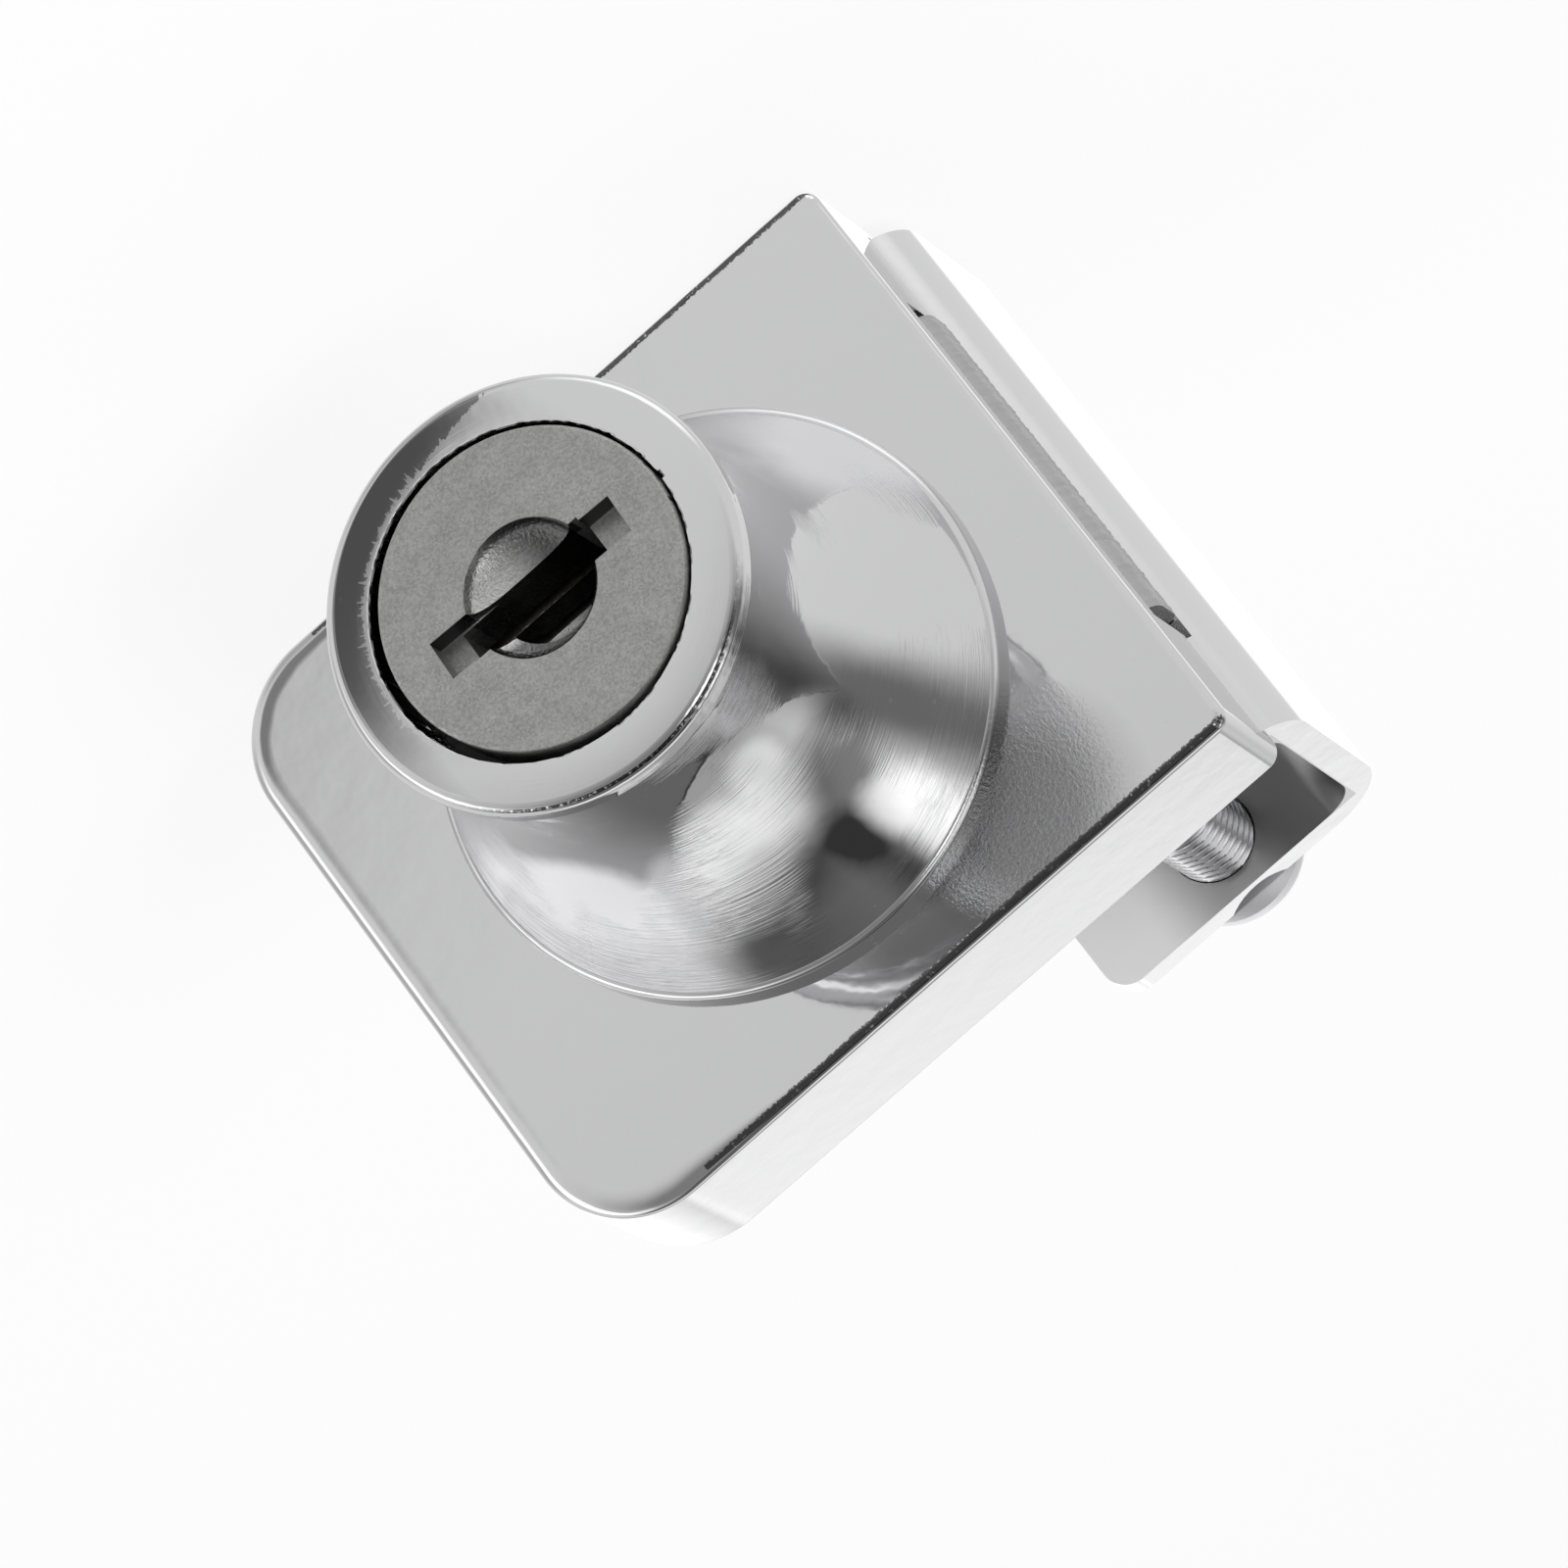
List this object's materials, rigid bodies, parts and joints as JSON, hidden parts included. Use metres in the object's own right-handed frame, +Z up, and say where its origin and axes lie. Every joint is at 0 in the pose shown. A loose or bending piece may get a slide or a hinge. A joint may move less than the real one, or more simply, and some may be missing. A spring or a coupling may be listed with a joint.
{
  "type": "glass door lock",
  "caption": "Clamp-on lock for a glass cabinet door: keyed plug in a flared boss, flat sliding bolt and a U clamp with two screws.",
  "frame": {"origin": "where the axis of the plug meets the face that rests on the glass", "axes": "+X along the door, away from the clamp web; +Y from the front of the lock into the door; +Z up"},
  "size_m": [0.0367, 0.0416, 0.032],
  "materials": {
    "chromed_zinc": "die-cast zinc, polished and chrome plated",
    "bare_zinc": "die-cast zinc, fine matt grain",
    "spring_steel": "oiled steel",
    "stamped_brass": "stamped brass sheet",
    "bolt_steel": "sheared steel with burrs on the cut edge",
    "chromed_steel": "bent steel sheet, chrome plated",
    "screw_steel": "bright plated steel"
  },
  "bodies": {
    "frame": {"housing": "chromed_zinc", "clamp_bracket": "chromed_steel", "bracket_screws": "screw_steel"},
    "plug": {"plug": "bare_zinc", "retaining_clip": "spring_steel", "crank_pin": "spring_steel", "wafer_spring_1": "spring_steel", "wafer_spring_2": "spring_steel", "wafer_spring_3": "spring_steel", "wafer_spring_4": "spring_steel", "wafer_spring_5": "spring_steel"},
    "odd_wafers": {"wafer_1": "stamped_brass", "wafer_3": "stamped_brass", "wafer_5": "stamped_brass"},
    "even_wafers": {"wafer_2": "stamped_brass", "wafer_4": "stamped_brass"},
    "bolt": {"bolt": "bolt_steel"},
    "clamp_screw_upper": {"clamp_screw_upper": "screw_steel"},
    "clamp_screw_lower": {"clamp_screw_lower": "screw_steel"}
  },
  "joints": [
    {"name": "plug_turn", "type": "hinge", "parent": "frame", "child": "plug", "pos_m": [0, 0, 0], "axis": [0, 1, 0], "range_deg": [0, 90]},
    {"name": "bolt_slide", "type": "slide", "parent": "frame", "child": "bolt", "axis": [-1, 0, 0], "range_m": [0, 0.006]},
    {"name": "odd_wafer_slide", "type": "slide", "parent": "plug", "child": "odd_wafers", "axis": [1, 0, 0], "range_m": [0, 0.0005]},
    {"name": "even_wafer_slide", "type": "slide", "parent": "plug", "child": "even_wafers", "axis": [-1, 0, 0], "range_m": [0, 0.0005]},
    {"name": "clamp_screw_upper_feed", "type": "slide", "parent": "frame", "child": "clamp_screw_upper", "axis": [0, 1, 0], "range_m": [0, 0.0062]},
    {"name": "clamp_screw_lower_feed", "type": "slide", "parent": "frame", "child": "clamp_screw_lower", "axis": [0, 1, 0], "range_m": [0, 0.0062]}
  ],
  "couplings": [
    {"joint": "bolt_slide", "follows": "plug_turn", "m_per_rad": 0.0038197},
    {"joint": "even_wafer_slide", "follows": "odd_wafer_slide", "ratio": 1}
  ]
}
